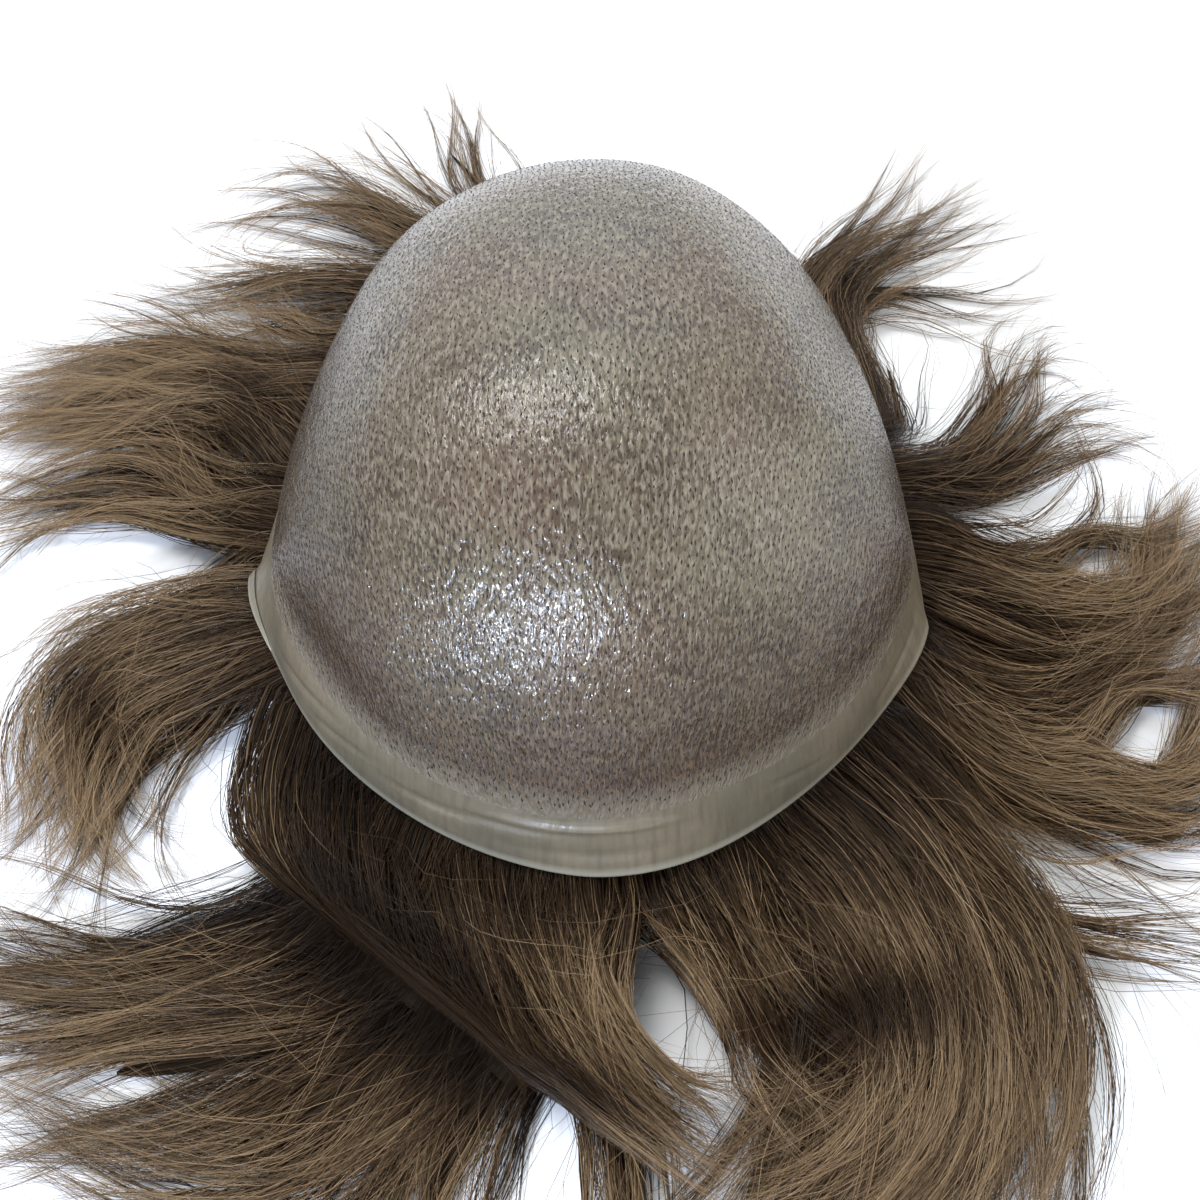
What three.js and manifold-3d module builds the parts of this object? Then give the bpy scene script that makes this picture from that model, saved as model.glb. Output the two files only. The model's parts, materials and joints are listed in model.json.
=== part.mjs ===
// A skin-base toupee lying inside out on a table: the film base domes upwards with its scalp side
// out, a clear band edges it, and the hair hangs on the hollow side and fans out below the rim.
// Millimetres, +Z up, table at z = 0, front of the base towards -Y.
import * as THREE from "three";
import { mergeVertices } from "three/addons/utils/BufferGeometryUtils.js";
import Module from "manifold-3d";

const wasm = await Module();
wasm.setup();

// Base, measured from the axis through its widest point
const halfWidth = 76;
const frontReach = 72;
const backReach = 125;
const domeHeight = 80; // rim to crown
const rimHeight = 20; // table to rim, the depth of hair under the edge
const crownLean = 5; // how far the crown lies behind the widest point
const frontRoundness = 1.8; // superellipse powers of the plan outline
const backRoundness = 2.2;
const shoulderPower = 1.6; // superellipse powers of the upright profile
const wallPower = 2.1;
const filmWall = 1.0;

// Clear band along the edge
const bandRise = 16; // rim to the band's upper edge
const bandWall = 1.3;

// Hair
const hairLength = 130; // rim to the tip of a full lock
const lockWidth = 30;
const lockHeight = 13;
const restShare = 0.84; // how high a section's middle lies where it rests, of half its height
const fallShare = 0.3; // share of its length over which a lock comes down from the rim
const rootInset = 12; // how far inside the rim a lock starts
const matDepth = 5; // layer of hair roots that lines the base
const clearance = 0.4; // between one piece and the next

// Facets
const aroundCount = 34;
const domeRows = 7;
const bandRows = 2;
const lockSides = 6;
const routeSteps = 30; // straight steps of a lock's route
const wedgeSteps = 6; // facets of the far side of a zone's wedge

const filmColour = 0x8f8776;
const bandColour = 0xa59c86;
const hairColour = 0x5a4634;

// Rows of a table as objects, with one property for each named column
const withColumns = (columns, rows) =>
  rows.map((row) => Object.fromEntries(columns.map((column, i) => [column, row[i]])));

// Places where the edge turns outwards. out: share of the half width. spread: degrees.
const flares = withColumns(
  ["bearing", "out", "spread"],
  [
    [176, 0.045, 13],
    [-6, 0.03, 16],
    [-82, 0.02, 20],
  ],
);

// Soft dents (deep above 0) and bulges (below 0) of the film. up, deep and across: shares of the
// dome's height. along: degrees.
const dents = withColumns(
  ["bearing", "up", "deep", "along", "across"],
  [
    [52, 0.74, 0.03, 15, 0.16],
    [30, 0.5, 0.014, 12, 0.22],
    [126, 0.62, -0.02, 14, 0.2],
    [-90, 0.34, 0.012, 45, 0.07],
    [-150, 0.3, 0.014, 16, 0.08],
  ],
);

// Width and height of a lock, as shares of its own width and height. along: share of its length from
// the rim, where -1 is its root end, one root inset inside the rim.
const lockProfile = withColumns(
  ["along", "width", "height"],
  [
    [-1, 0.75, 0.8],
    [0, 0.9, 1],
    [0.15, 1, 0.96],
    [0.34, 1, 0.86],
    [0.53, 0.93, 0.72],
    [0.71, 0.78, 0.54],
    [0.87, 0.52, 0.36],
    [1, 0.16, 0.16],
  ],
);

// Parts of the base that the hair is divided into. from and to: bearings, anticlockwise.
const zones = withColumns(
  ["name", "from", "to"],
  [
    ["front", -168, -24],
    ["left", 117, 192],
    ["right", -24, 56],
    ["back", 56, 117],
  ],
);

// Locks. bearing: where one passes under the rim. heads: its direction there. near, mid and tip: how
// far it turns over each third of its length. All are degrees in plan, anticlockwise from +X.
// long, wide and tall: shares of the full lock. rides: height of its underside, as a share of the
// rim's height.
const locks = withColumns(
  ["zone", "bearing", "heads", "near", "mid", "tip", "long", "wide", "tall", "rides"],
  [
    ["front", -130, -100, -72, -10, 8, 1.1, 0.8, 0.8, 0],
    ["front", -118, -98, -62, -8, 2, 1.12, 1, 0.8, 0],
    ["front", -106, -94, -44, -46, -4, 1.22, 1.1, 0.8, 0],
    ["front", -94, -95, -12, -22, -28, 0.85, 1, 0.8, 0],
    ["front", -72, -80, -6, -20, -20, 0.85, 1, 0.8, 0],
    ["front", -50, -66, -14, -40, -12, 0.9, 1.1, 0.85, 0],
    ["front", -30, -60, -4, -44, -40, 0.9, 0.9, 0.85, 0],
    ["front", -162, -112, 34, 45, 15, 0.72, 0.9, 1, 0.12],
    ["front", -149, -98, 26, 44, 24, 0.72, 0.9, 1, 0.2],
    ["front", -135, -84, 20, 42, 26, 0.72, 1, 1, 0.28],
    ["front", -118, -78, 16, 42, 26, 0.66, 1, 1, 0.28],
    ["front", -102, -84, 18, 44, 20, 0.56, 1, 1, 0.25],
    ["front", -86, -86, 20, 46, 16, 0.5, 1, 1, 0.2],
    ["front", -68, -80, 22, 44, 10, 0.5, 1, 1, 0.2],
    ["front", -52, -72, 18, 30, 20, 0.56, 1, 1, 0.2],
    ["front", -38, -64, 6, -30, -56, 0.88, 1, 1, 0.1],
    ["front", -29, -64, 14, 44, 8, 0.92, 0.35, 0.5, 0.2],
    ["left", -177, -188, 34, 70, -22, 0.85, 1, 1, 0.1],
    ["left", -173, -165, 16, 52, -8, 0.8, 0.9, 1, 0],
    ["left", -171, -162, 8, 84, 34, 0.72, 0.4, 0.6, 0],
    ["left", 168, -184, 24, 10, 0, 0.6, 0.2, 0.35, 0],
    ["left", 157, 176, 2, 6, 14, 0.85, 0.8, 0.8, 0],
    ["left", 146, 172, -12, 10, 28, 0.88, 1, 1, 0],
    ["left", 137, 168, -4, 10, 20, 0.9, 1, 1, 0.1],
    ["left", 127, 168, 2, 12, 12, 0.92, 1, 0.9, 0],
    ["left", 122, 196, -10, -20, 14, 0.8, 0.8, 0.7, 0.25],
    ["right", 44, 88, 0, -60, 4, 1.05, 0.7, 1, 0],
    ["right", 38, 30, 56, 16, 10, 0.6, 0.15, 0.35, 0],
    ["right", 47, 84, -30, -86, 60, 1.1, 0.15, 0.35, 0],
    ["right", 30, 10, 50, 4, -104, 0.85, 0.35, 0.5, 0],
    ["right", 27, 14, 22, -4, -50, 0.8, 0.3, 0.45, 0],
    ["right", 20, 8, -34, 52, 14, 0.85, 0.7, 0.8, 0],
    ["right", 7, -16, 14, 58, -4, 0.95, 1, 1, 0.1],
    ["right", -7, -56, 58, 60, 4, 1, 1, 1, 0],
    ["right", -14, -62, 44, 50, 34, 0.95, 1, 1, 0],
    ["right", -21, -64, 54, 14, 4, 0.88, 0.7, 0.8, 0],
    ["back", 112, 146, -2, 6, 8, 0.84, 0.7, 0.8, 0],
    ["back", 104, 120, 18, 42, 54, 0.95, 0.7, 0.8, 0],
    ["back", 94, 114, 10, -4, -14, 0.98, 0.2, 0.35, 0],
    ["back", 88, 104, 40, 50, 50, 0.45, 0.7, 0.8, 0],
    ["back", 76, 72, -34, -50, -50, 0.42, 0.7, 0.8, 0],
    ["back", 65, 50, -20, -40, -30, 0.4, 0.7, 0.8, 0],
  ],
);

const radians = THREE.MathUtils.degToRad;
const smoothstep = THREE.MathUtils.smoothstep;
const clamp = THREE.MathUtils.clamp;
const lerp = THREE.MathUtils.lerp;

// A hump that is 1 at distance 0 and fades out over the spread
const hump = (distance, spread) => Math.exp(-((distance / spread) ** 2));

// Degrees from one bearing to another, the short way round
const between = (a, b) => THREE.MathUtils.euclideanModulo(a - b + 180, 360) - 180;

// Distance from the axis to the plain rim at a bearing in degrees
function rimRadius(bearing) {
  const c = Math.cos(radians(bearing));
  const s = Math.sin(radians(bearing));
  const reach = s < 0 ? frontReach : backReach;
  const power = s < 0 ? frontRoundness : backRoundness;
  return (Math.abs(c / halfWidth) ** power + Math.abs(s / reach) ** power) ** (-1 / power);
}

// A point of the base's outer face. turn: 0 degrees at the rim and 90 at the crown.
function facePoint(bearing, turn) {
  const up = Math.sin(radians(turn)) ** (2 / shoulderPower);
  let radius = rimRadius(bearing) * Math.max(Math.cos(radians(turn)), 0) ** (2 / wallPower);
  const edgeShare = clamp(1 - (up * domeHeight) / bandRise, 0, 1);
  for (const flare of flares) {
    radius += flare.out * halfWidth * hump(between(bearing, flare.bearing), flare.spread) * edgeShare ** 2;
  }
  for (const dent of dents) {
    const near = hump(between(bearing, dent.bearing), dent.along) * hump(up - dent.up, dent.across);
    radius -= dent.deep * domeHeight * near;
  }
  const c = Math.cos(radians(bearing));
  const s = Math.sin(radians(bearing));
  return new THREE.Vector3(radius * c, radius * s + crownLean * up, rimHeight + domeHeight * up);
}

// A point under the outer face, moved inwards along the face's normal, but no lower than the rim
function insetPoint(bearing, turn, inset) {
  const step = 0.5; // degrees, for the two tangents
  const low = Math.max(turn - step, 0);
  const high = Math.min(turn + step, 90 - step);
  const point = facePoint(bearing, turn);
  const round = facePoint(bearing + step, turn).sub(facePoint(bearing - step, turn));
  const rise = facePoint(bearing, high).sub(facePoint(bearing, low));
  const normal = round.cross(rise).normalize();
  point.addScaledVector(normal, -inset);
  return point.setZ(Math.max(point.z, rimHeight));
}

const ringOf = (count, pointAt) => Array.from({ length: count }, (_, i) => pointAt((360 * i) / count));
const spaced = (from, to, steps) => Array.from({ length: steps + 1 }, (_, i) => lerp(from, to, i / steps));

// The closed solid through a list of rings of points. A ring of one point is a pole, and a list with
// no pole wraps round to its start.
function solidThrough(rings) {
  const start = [];
  const vertProperties = [];
  for (const ring of rings) {
    start.push(vertProperties.length / 3);
    for (const point of ring) vertProperties.push(point.x, point.y, point.z);
  }
  const triangles = [];
  const wraps = rings[0].length > 1;
  for (let i = 0; i < (wraps ? rings.length : rings.length - 1); i++) {
    const j = (i + 1) % rings.length;
    const count = Math.max(rings[i].length, rings[j].length);
    const at = (ring, k) => start[ring] + (rings[ring].length === 1 ? 0 : k % count);
    // the same diagonal for layers that run up and down, so that nested layers never cross
    const lean = rings[i][0].z < rings[j][0].z ? 1 : 0;
    for (let k = 0; k < count; k++) {
      if (rings[i].length > 1) triangles.push(at(i, k), at(j, k + lean), at(i, k + 1));
      if (rings[j].length > 1) triangles.push(at(i, k + 1 - lean), at(j, k), at(j, k + 1));
    }
  }
  const mesh = new wasm.Mesh({
    numProp: 3,
    vertProperties: new Float32Array(vertProperties),
    triVerts: new Uint32Array(triangles),
  });
  return new wasm.Manifold(mesh);
}

// The turn at which the outer face is a given height above the rim
const turnAtRise = (rise) =>
  THREE.MathUtils.radToDeg(Math.asin(clamp(rise / domeHeight, 0, 1) ** (shoulderPower / 2)));

// A dome-shaped layer from one turn up to the crown, between two insets
function domeLayer(turnLow, insetOut, insetIn, rowCount) {
  const turns = spaced(turnLow, 90, rowCount).slice(0, -1);
  const crown = facePoint(0, 90);
  const pole = (inset) => [crown.clone().setZ(crown.z - inset)];
  const row = (turn, inset) => ringOf(aroundCount, (bearing) => insetPoint(bearing, turn, inset));
  return solidThrough([
    pole(insetOut),
    ...[...turns].reverse().map((turn) => row(turn, insetOut)),
    ...turns.map((turn) => row(turn, insetIn)),
    pole(insetIn),
  ]);
}

// The space inside the base, a given distance in from its outer face. Its floor is just below the rim.
function hollowSpace(inset) {
  const bandTurns = spaced(0, turnAtRise(bandRise), bandRows);
  const filmTurns = spaced(turnAtRise(bandRise + clearance), 90, domeRows).slice(0, -1);
  const rows = [...bandTurns, ...filmTurns].map((turn) =>
    ringOf(aroundCount, (bearing) => insetPoint(bearing, turn, inset)),
  );
  const floorHeight = rimHeight - 2 * clearance;
  const skirt = rows[0].map((point) => point.clone().setZ(floorHeight));
  const crown = facePoint(0, 90);
  crown.z -= inset;
  return solidThrough([[crown], ...rows.reverse(), skirt, [new THREE.Vector3(0, 0, floorHeight)]]);
}

// The film with the hair in it: the dome above the clear band
function filmBase() {
  return domeLayer(turnAtRise(bandRise + clearance), 0, filmWall, domeRows);
}

// The clear strip between the film and the edge
function edgeBand() {
  const turns = spaced(0, turnAtRise(bandRise), bandRows);
  const row = (turn, inset) => ringOf(aroundCount, (bearing) => insetPoint(bearing, turn, inset));
  return solidThrough([
    ...[...turns].reverse().map((turn) => row(turn, 0)),
    ...turns.map((turn) => row(turn, bandWall)),
  ]);
}

// Where a lock runs: plan position and heading at a share of its length, where 0 is at the rim
function routeOf(lock) {
  const length = lock.long * hairLength;
  const headingAt = (share) =>
    lock.heads +
    lock.near * clamp(3 * share, 0, 1) +
    lock.mid * clamp(3 * share - 1, 0, 1) +
    lock.tip * clamp(3 * share - 2, 0, 1);
  const direction = (share) =>
    new THREE.Vector2(1, 0).rotateAround(new THREE.Vector2(), radians(headingAt(share)));
  const start = new THREE.Vector2(rimRadius(lock.bearing), 0);
  const points = [start.rotateAround(new THREE.Vector2(), radians(lock.bearing))];
  for (let i = 0; i < routeSteps; i++) {
    const step = direction((i + 0.5) / routeSteps).multiplyScalar(length / routeSteps);
    points.push(points[i].clone().add(step));
  }
  return (share) => {
    const heading = direction(share);
    const at = clamp(share, 0, 1) * routeSteps;
    const i = Math.min(Math.floor(at), routeSteps - 1);
    const place = points[i].clone().lerp(points[i + 1], at - i);
    const beyond = share - clamp(share, 0, 1); // straight on past either end
    return { place: place.addScaledVector(heading, beyond * length), heading };
  };
}

// One lock, grown on every side by the given amount
function lockSolid(lock, grow) {
  const route = routeOf(lock);
  const length = lock.long * hairLength;
  const rings = lockProfile.map((section, i) => {
    const isRoot = section.along < 0;
    const isTip = i === lockProfile.length - 1;
    const base = isRoot ? (section.along * (rootInset + grow)) / length : section.along;
    const share = isTip ? base + grow / length : base;
    const { place, heading } = route(share);
    const halfWide = (section.width * lock.wide * lockWidth) / 2;
    const halfTall = (section.height * lock.tall * lockHeight) / 2;
    const resting = lock.rides * rimHeight + restShare * halfTall;
    const underRim = rimHeight - halfTall;
    const middle = isRoot ? rimHeight : lerp(underRim, resting, smoothstep(share, 0, fallShare));
    return ringOf(lockSides, (angle) => {
      const side = Math.cos(radians(angle)) * (halfWide + grow);
      const lift = Math.sin(radians(angle)) * (halfTall + grow);
      const z = Math.max(middle + lift, -grow);
      return new THREE.Vector3(place.x + heading.y * side, place.y - heading.x * side, z);
    });
  });
  const centre = (ring) =>
    ring.reduce((sum, point) => sum.add(point), new THREE.Vector3()).divideScalar(ring.length);
  return solidThrough([[centre(rings[0])], ...rings, [centre(rings.at(-1))]]);
}

// A three.js geometry as a solid that can be joined and cut
function solidOf(geometry) {
  geometry.deleteAttribute("normal");
  geometry.deleteAttribute("uv");
  const merged = mergeVertices(geometry);
  const mesh = new wasm.Mesh({
    numProp: 3,
    vertProperties: new Float32Array(merged.getAttribute("position").array),
    triVerts: new Uint32Array(merged.getIndex().array),
  });
  return new wasm.Manifold(mesh);
}

// Everything between two bearings, less half the clearance at each of them
function wedge(zone) {
  const far = 2 * (hairLength + backReach);
  const outline = [new THREE.Vector2(0, 0)];
  const middle = radians((zone.from + zone.to) / 2);
  const half = radians((zone.to - zone.from) / 2);
  const apex = clearance / 2 / Math.sin(half); // moves the point so that each side keeps the clearance
  for (const share of spaced(-1, 1, wedgeSteps)) {
    outline.push(new THREE.Vector2(far, 0).rotateAround(new THREE.Vector2(), middle + share * half));
  }
  const shape = new THREE.Shape(outline);
  const geometry = new THREE.ExtrudeGeometry(shape, {
    depth: rimHeight + 2 * domeHeight,
    bevelEnabled: false,
  });
  geometry.translate(apex * Math.cos(middle), apex * Math.sin(middle), -rimHeight);
  return solidOf(geometry);
}

// The slab between the table and the rim
function underRim() {
  const size = 4 * (hairLength + backReach);
  const depth = rimHeight - clearance;
  const geometry = new THREE.BoxGeometry(size, size, depth);
  geometry.translate(0, 0, depth / 2);
  return solidOf(geometry);
}

// The hair of each zone: its share of the root lining, and its locks. A lock reaches above the rim
// only inside the base, and makes way for the locks of the zones before its own.
function hairSolids() {
  const hollow = hollowSpace(bandWall + clearance);
  const lining = hollow.subtract(hollowSpace(bandWall + clearance + matDepth));
  const slab = underRim();
  const solids = new Map();
  let taken = null;
  for (const zone of zones) {
    const sector = wedge(zone);
    const own = locks.filter((lock) => lock.zone === zone.name);
    const joined = wasm.Manifold.union(own.map((lock) => lockSolid(lock, 0)));
    const room = slab.add(hollow.intersect(sector));
    let hair = joined.intersect(room).add(lining.intersect(sector));
    if (taken) hair = hair.subtract(taken);
    const bodies = hair.decompose().sort((a, b) => b.volume() - a.volume());
    solids.set(zone.name, bodies[0]);
    const grown = wasm.Manifold.union(own.map((lock) => lockSolid(lock, clearance))).intersect(slab);
    taken = taken ? taken.add(grown).add(bodies[0]) : grown.add(bodies[0]);
  }
  return solids;
}

// A solid as a three.js mesh
function meshOf(name, solid, colour, roughness) {
  const { vertProperties, triVerts } = solid.getMesh();
  const geometry = new THREE.BufferGeometry();
  geometry.setAttribute("position", new THREE.BufferAttribute(new Float32Array(vertProperties), 3));
  geometry.setIndex(new THREE.BufferAttribute(new Uint32Array(triVerts), 1));
  geometry.computeVertexNormals();
  const material = new THREE.MeshStandardMaterial({ color: colour, roughness, metalness: 0 });
  const mesh = new THREE.Mesh(geometry, material);
  mesh.name = name;
  return mesh;
}

const toupee = new THREE.Group();
toupee.add(meshOf("film_base", filmBase(), filmColour, 0.35));
toupee.add(meshOf("edge_band", edgeBand(), bandColour, 0.3));
for (const [zone, solid] of hairSolids()) {
  toupee.add(meshOf("hair_" + zone, solid, hairColour, 0.55));
}

// The origin is the middle of the whole piece's footprint on the table
const footprint = new THREE.Box3().setFromObject(toupee).getCenter(new THREE.Vector3());
for (const mesh of toupee.children) mesh.position.set(-footprint.x, -footprint.y, 0);

export default toupee;
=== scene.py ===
# %% [markdown]
# # A thin-skin toupee, lying inside out
# The real piece is a film of soft plastic, cast over a head form, with human hair knotted through it.
# Here it lies with the scalp side of the film outwards, so the knots show as small dark dashes, and
# the hair hangs on the hollow side and fans out under the rim.
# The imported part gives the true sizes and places. Everything below dresses it: a fine film, the
# knots, the clear band, and some twenty-five thousand hairs in place of the solid locks.

import json
import math

import bpy
import numpy as np
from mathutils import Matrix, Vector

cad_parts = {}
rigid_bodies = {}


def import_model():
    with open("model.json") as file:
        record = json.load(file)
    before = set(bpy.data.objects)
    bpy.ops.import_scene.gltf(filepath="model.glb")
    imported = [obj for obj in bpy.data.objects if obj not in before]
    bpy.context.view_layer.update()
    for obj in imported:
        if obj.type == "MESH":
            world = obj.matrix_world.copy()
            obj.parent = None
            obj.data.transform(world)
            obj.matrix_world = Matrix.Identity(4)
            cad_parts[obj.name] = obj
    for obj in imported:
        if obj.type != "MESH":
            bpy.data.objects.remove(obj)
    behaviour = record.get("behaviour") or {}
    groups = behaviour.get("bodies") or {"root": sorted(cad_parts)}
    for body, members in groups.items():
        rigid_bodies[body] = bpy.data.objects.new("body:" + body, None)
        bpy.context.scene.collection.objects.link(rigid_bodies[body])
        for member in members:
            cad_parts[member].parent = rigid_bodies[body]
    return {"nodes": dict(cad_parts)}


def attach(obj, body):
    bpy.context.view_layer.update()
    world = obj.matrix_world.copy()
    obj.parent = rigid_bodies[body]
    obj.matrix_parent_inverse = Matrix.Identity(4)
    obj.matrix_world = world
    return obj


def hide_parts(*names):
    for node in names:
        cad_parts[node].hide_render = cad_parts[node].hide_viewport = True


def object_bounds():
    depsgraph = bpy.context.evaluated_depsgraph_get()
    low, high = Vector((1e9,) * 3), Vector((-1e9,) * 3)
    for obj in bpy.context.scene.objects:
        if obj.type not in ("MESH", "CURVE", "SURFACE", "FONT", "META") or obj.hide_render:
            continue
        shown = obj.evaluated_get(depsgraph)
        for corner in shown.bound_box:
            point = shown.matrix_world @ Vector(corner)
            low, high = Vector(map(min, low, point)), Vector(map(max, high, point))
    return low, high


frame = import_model()
cad_low, cad_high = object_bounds()
print("frame", [round(1000 * x) for x in (cad_high - cad_low)], "mm, nodes", len(frame["nodes"]))

# %% [markdown]
# ## The sizes that the dressing follows
# A part keeps its size when it is dressed, so the same named sizes are used again here, in
# millimetres. The place of the base is read from the frame: the crown is the film's highest point.

# %% Sizes of the base and the hair, in millimetres
MM = 0.001
half_width = 76.0
front_reach = 72.0
back_reach = 125.0
dome_height = 80.0
rim_height = 20.0
crown_lean = 5.0
front_roundness = 1.8
back_roundness = 2.2
shoulder_power = 1.6
wall_power = 2.1
film_wall = 1.0
band_rise = 16.0
band_wall = 1.3
hair_length = 130.0
lock_width = 30.0
lock_height = 13.0
mat_depth = 5.0
clearance = 0.4

film_corners = np.array([v.co for v in frame["nodes"]["film_base"].data.vertices]) / MM
crown = film_corners[film_corners[:, 2].argmax()]
base_place = np.array([crown[0], crown[1] - crown_lean, 0.0])
rng = np.random.default_rng(11)
print("the base stands at", base_place.round(1))

# %% [markdown]
# ## One formula for the dome
# A head form is rounder at the front than at the back. A superellipse gives that outline with four
# numbers, and a second one gives the upright profile, so the whole dome is a formula of two angles:
# the bearing round it and the turn from the rim (0 degrees) to the crown (90 degrees).
# Sculpting would also work, but a formula lets the film, the band and every knot share one surface.

# %% The dome's surface
flares = [(176, 0.045, 13), (-6, 0.03, 16), (-82, 0.02, 20)]  # bearing, out, spread
dents = [  # bearing, up, deep, along, across
    (52, 0.74, 0.03, 15, 0.16),
    (30, 0.5, 0.014, 12, 0.22),
    (126, 0.62, -0.02, 14, 0.2),
    (-90, 0.34, 0.012, 45, 0.07),
    (-150, 0.3, 0.014, 16, 0.08),
]


def hump(distance, spread):
    """1 at distance 0, fading out over the spread."""
    return np.exp(-((distance / spread) ** 2))


def between(a, b):
    """Degrees from bearing b to bearing a, the short way round."""
    return (a - b + 180.0) % 360.0 - 180.0


def rim_radius(bearing):
    c, s = np.cos(np.radians(bearing)), np.sin(np.radians(bearing))
    reach = np.where(s < 0, front_reach, back_reach)
    power = np.where(s < 0, front_roundness, back_roundness)
    return (np.abs(c / half_width) ** power + np.abs(s / reach) ** power) ** (-1 / power)


def ripple(bearing, up):
    """The slight unevenness of a soft film that lies on hair, in millimetres."""
    b = np.radians(bearing)
    wide = np.sin(3 * b + 5 * up) + 0.7 * np.sin(5 * b - 8 * up + 1) + 0.5 * np.sin(9 * b + 11 * up)
    return 0.22 * wide * np.clip(4 * (1 - up), 0, 1)


def face_point(bearing, turn):
    """Points of the outer face, for arrays of bearing and turn in degrees."""
    bearing, turn = np.broadcast_arrays(np.asarray(bearing, float), np.asarray(turn, float))
    up = np.sin(np.radians(turn)) ** (2 / shoulder_power)
    radius = rim_radius(bearing) * np.clip(np.cos(np.radians(turn)), 0, 1) ** (2 / wall_power)
    edge_share = np.clip(1 - up * dome_height / band_rise, 0, 1)
    for at, out, spread in flares:
        radius = radius + out * half_width * hump(between(bearing, at), spread) * edge_share**2
    for at, rise, deep, along, across in dents:
        near = hump(between(bearing, at), along) * hump(up - rise, across)
        radius = radius - deep * dome_height * near
    radius = radius + ripple(bearing, up)
    c, s = np.cos(np.radians(bearing)), np.sin(np.radians(bearing))
    place = np.stack([radius * c, radius * s + crown_lean * up, rim_height + dome_height * up], -1)
    return place + base_place


def face_normal(bearing, turn):
    step = 0.5  # degrees
    round_ = face_point(bearing + step, turn) - face_point(bearing - step, turn)
    low, high = np.clip(turn - step, 0, 89), np.clip(turn + step, 0.5, 89.5)
    normal = np.cross(round_, face_point(bearing, high) - face_point(bearing, low))
    return normal / np.linalg.norm(normal, axis=-1, keepdims=True)


def turn_at_rise(rise):
    return math.degrees(math.asin((rise / dome_height) ** (shoulder_power / 2)))


print("rim", [round(float(rim_radius(b))) for b in (0, 90, 180, 270)], "mm from the axis")

# %% [markdown]
# ## Meshes from arrays
# A grid of points becomes a mesh with one call when its faces are worked out by numpy. That is how
# all the pieces here are made, because a loop over a million corners would be slow.

# %% A mesh from arrays of points, faces and UVs
def make_piece(name, points, faces, material, uvs=None, smooth=True, normals=None):
    """A piece that rides on the part. points are in millimetres, uvs one pair for each point."""
    mesh = bpy.data.meshes.new(name)
    groups = faces if isinstance(faces, list) else [faces]
    corners = np.concatenate([g.ravel() for g in groups]).astype(np.int32)
    sizes = np.concatenate([np.full(len(g), g.shape[1]) for g in groups])
    starts = np.concatenate([[0], np.cumsum(sizes)[:-1]]).astype(np.int32)
    mesh.vertices.add(len(points))
    mesh.vertices.foreach_set("co", (np.asarray(points) * MM).astype(np.float32).ravel())
    mesh.loops.add(len(corners))
    mesh.loops.foreach_set("vertex_index", corners)
    mesh.polygons.add(len(sizes))
    mesh.polygons.foreach_set("loop_start", starts)
    mesh.polygons.foreach_set("use_smooth", np.full(len(sizes), smooth))
    if uvs is not None:
        layer = mesh.uv_layers.new(name="pattern")
        layer.uv.foreach_set("vector", uvs[corners].astype(np.float32).ravel())
    mesh.update(calc_edges=True)
    mesh.validate()
    if normals is not None:
        mesh.normals_split_custom_set_from_vertices(normals.astype(np.float32))
    mesh.materials.append(material)
    piece = bpy.data.objects.new(name, mesh)
    bpy.context.scene.collection.objects.link(piece)
    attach(piece, "root")
    return piece


def grid_faces(rows, columns, closed_rows=False):
    """Quads of a grid whose columns wrap round, and whose rows do so where closed_rows is set."""
    last = rows if closed_rows else rows - 1
    i, k = np.meshgrid(np.arange(last), np.arange(columns), indexing="ij")
    j, l = (i + 1) % rows, (k + 1) % columns
    quads = np.stack([i * columns + k, j * columns + k, j * columns + l, i * columns + l], -1)
    return quads.reshape(-1, 4)


def cap_faces(ring, centre, columns, flip):
    """A fan that closes a ring of the grid, from its first point's index, to one centre point."""
    k = np.arange(columns)
    fan = np.stack([ring + k, ring + (k + 1) % columns, np.full(columns, centre)], -1)
    return fan[:, ::-1] if flip else fan


def tube_faces(rows, columns):
    """Quads of a tube of rings, and the fans that close its ends to the two points after it."""
    last = rows * columns
    near, far = cap_faces(0, last, columns, False), cap_faces(last - columns, last + 1, columns, True)
    return grid_faces(rows, columns), np.concatenate([near, far])


def triangles_of(piece):
    piece.data.calc_loop_triangles()
    return len(piece.data.loop_triangles)


# %% [markdown]
# ## Helpers for shader nodes
# A material is a small graph. Small helpers keep each one short to read: they add a node with its
# settings and inputs, do arithmetic on sockets, blend colours and place a node group.

# %% Node helpers
def feed(tree, node, inputs):
    """Links each input to a socket, or sets it to a plain value."""
    for key, value in inputs.items():
        if isinstance(value, bpy.types.NodeSocket):
            tree.links.new(value, node.inputs[key])
        else:
            node.inputs[key].default_value = value


def add_node(tree, kind, inputs=None, **settings):
    node = tree.nodes.new(kind)
    for key, value in settings.items():
        setattr(node, key, value)
    feed(tree, node, inputs or {})
    return node


def maths(tree, operation, *values):
    return add_node(tree, "ShaderNodeMath", dict(enumerate(values)), operation=operation).outputs[0]


def noise(tree, vector, scale, detail=2.0, roughness=0.5, distortion=0.0):
    wanted = {"Vector": vector, "Scale": scale, "Detail": detail, "Roughness": roughness}
    wanted["Distortion"] = distortion
    return add_node(tree, "ShaderNodeTexNoise", wanted).outputs["Fac"]


def ramp(tree, value, low, high, to_low=0.0, to_high=1.0):
    """value from low..high to to_low..to_high, held at the ends."""
    wanted = {"Value": value, 1: low, 2: high, 3: to_low, 4: to_high}
    return add_node(tree, "ShaderNodeMapRange", wanted).outputs["Result"]


def blend_colours(tree, share, first, second, mode="MIX"):
    node = add_node(tree, "ShaderNodeMix", data_type="RGBA", blend_type=mode)
    feed(tree, node, {0: share, 6: first, 7: second})  # the colour sockets of the node
    return node.outputs[2]


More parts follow.
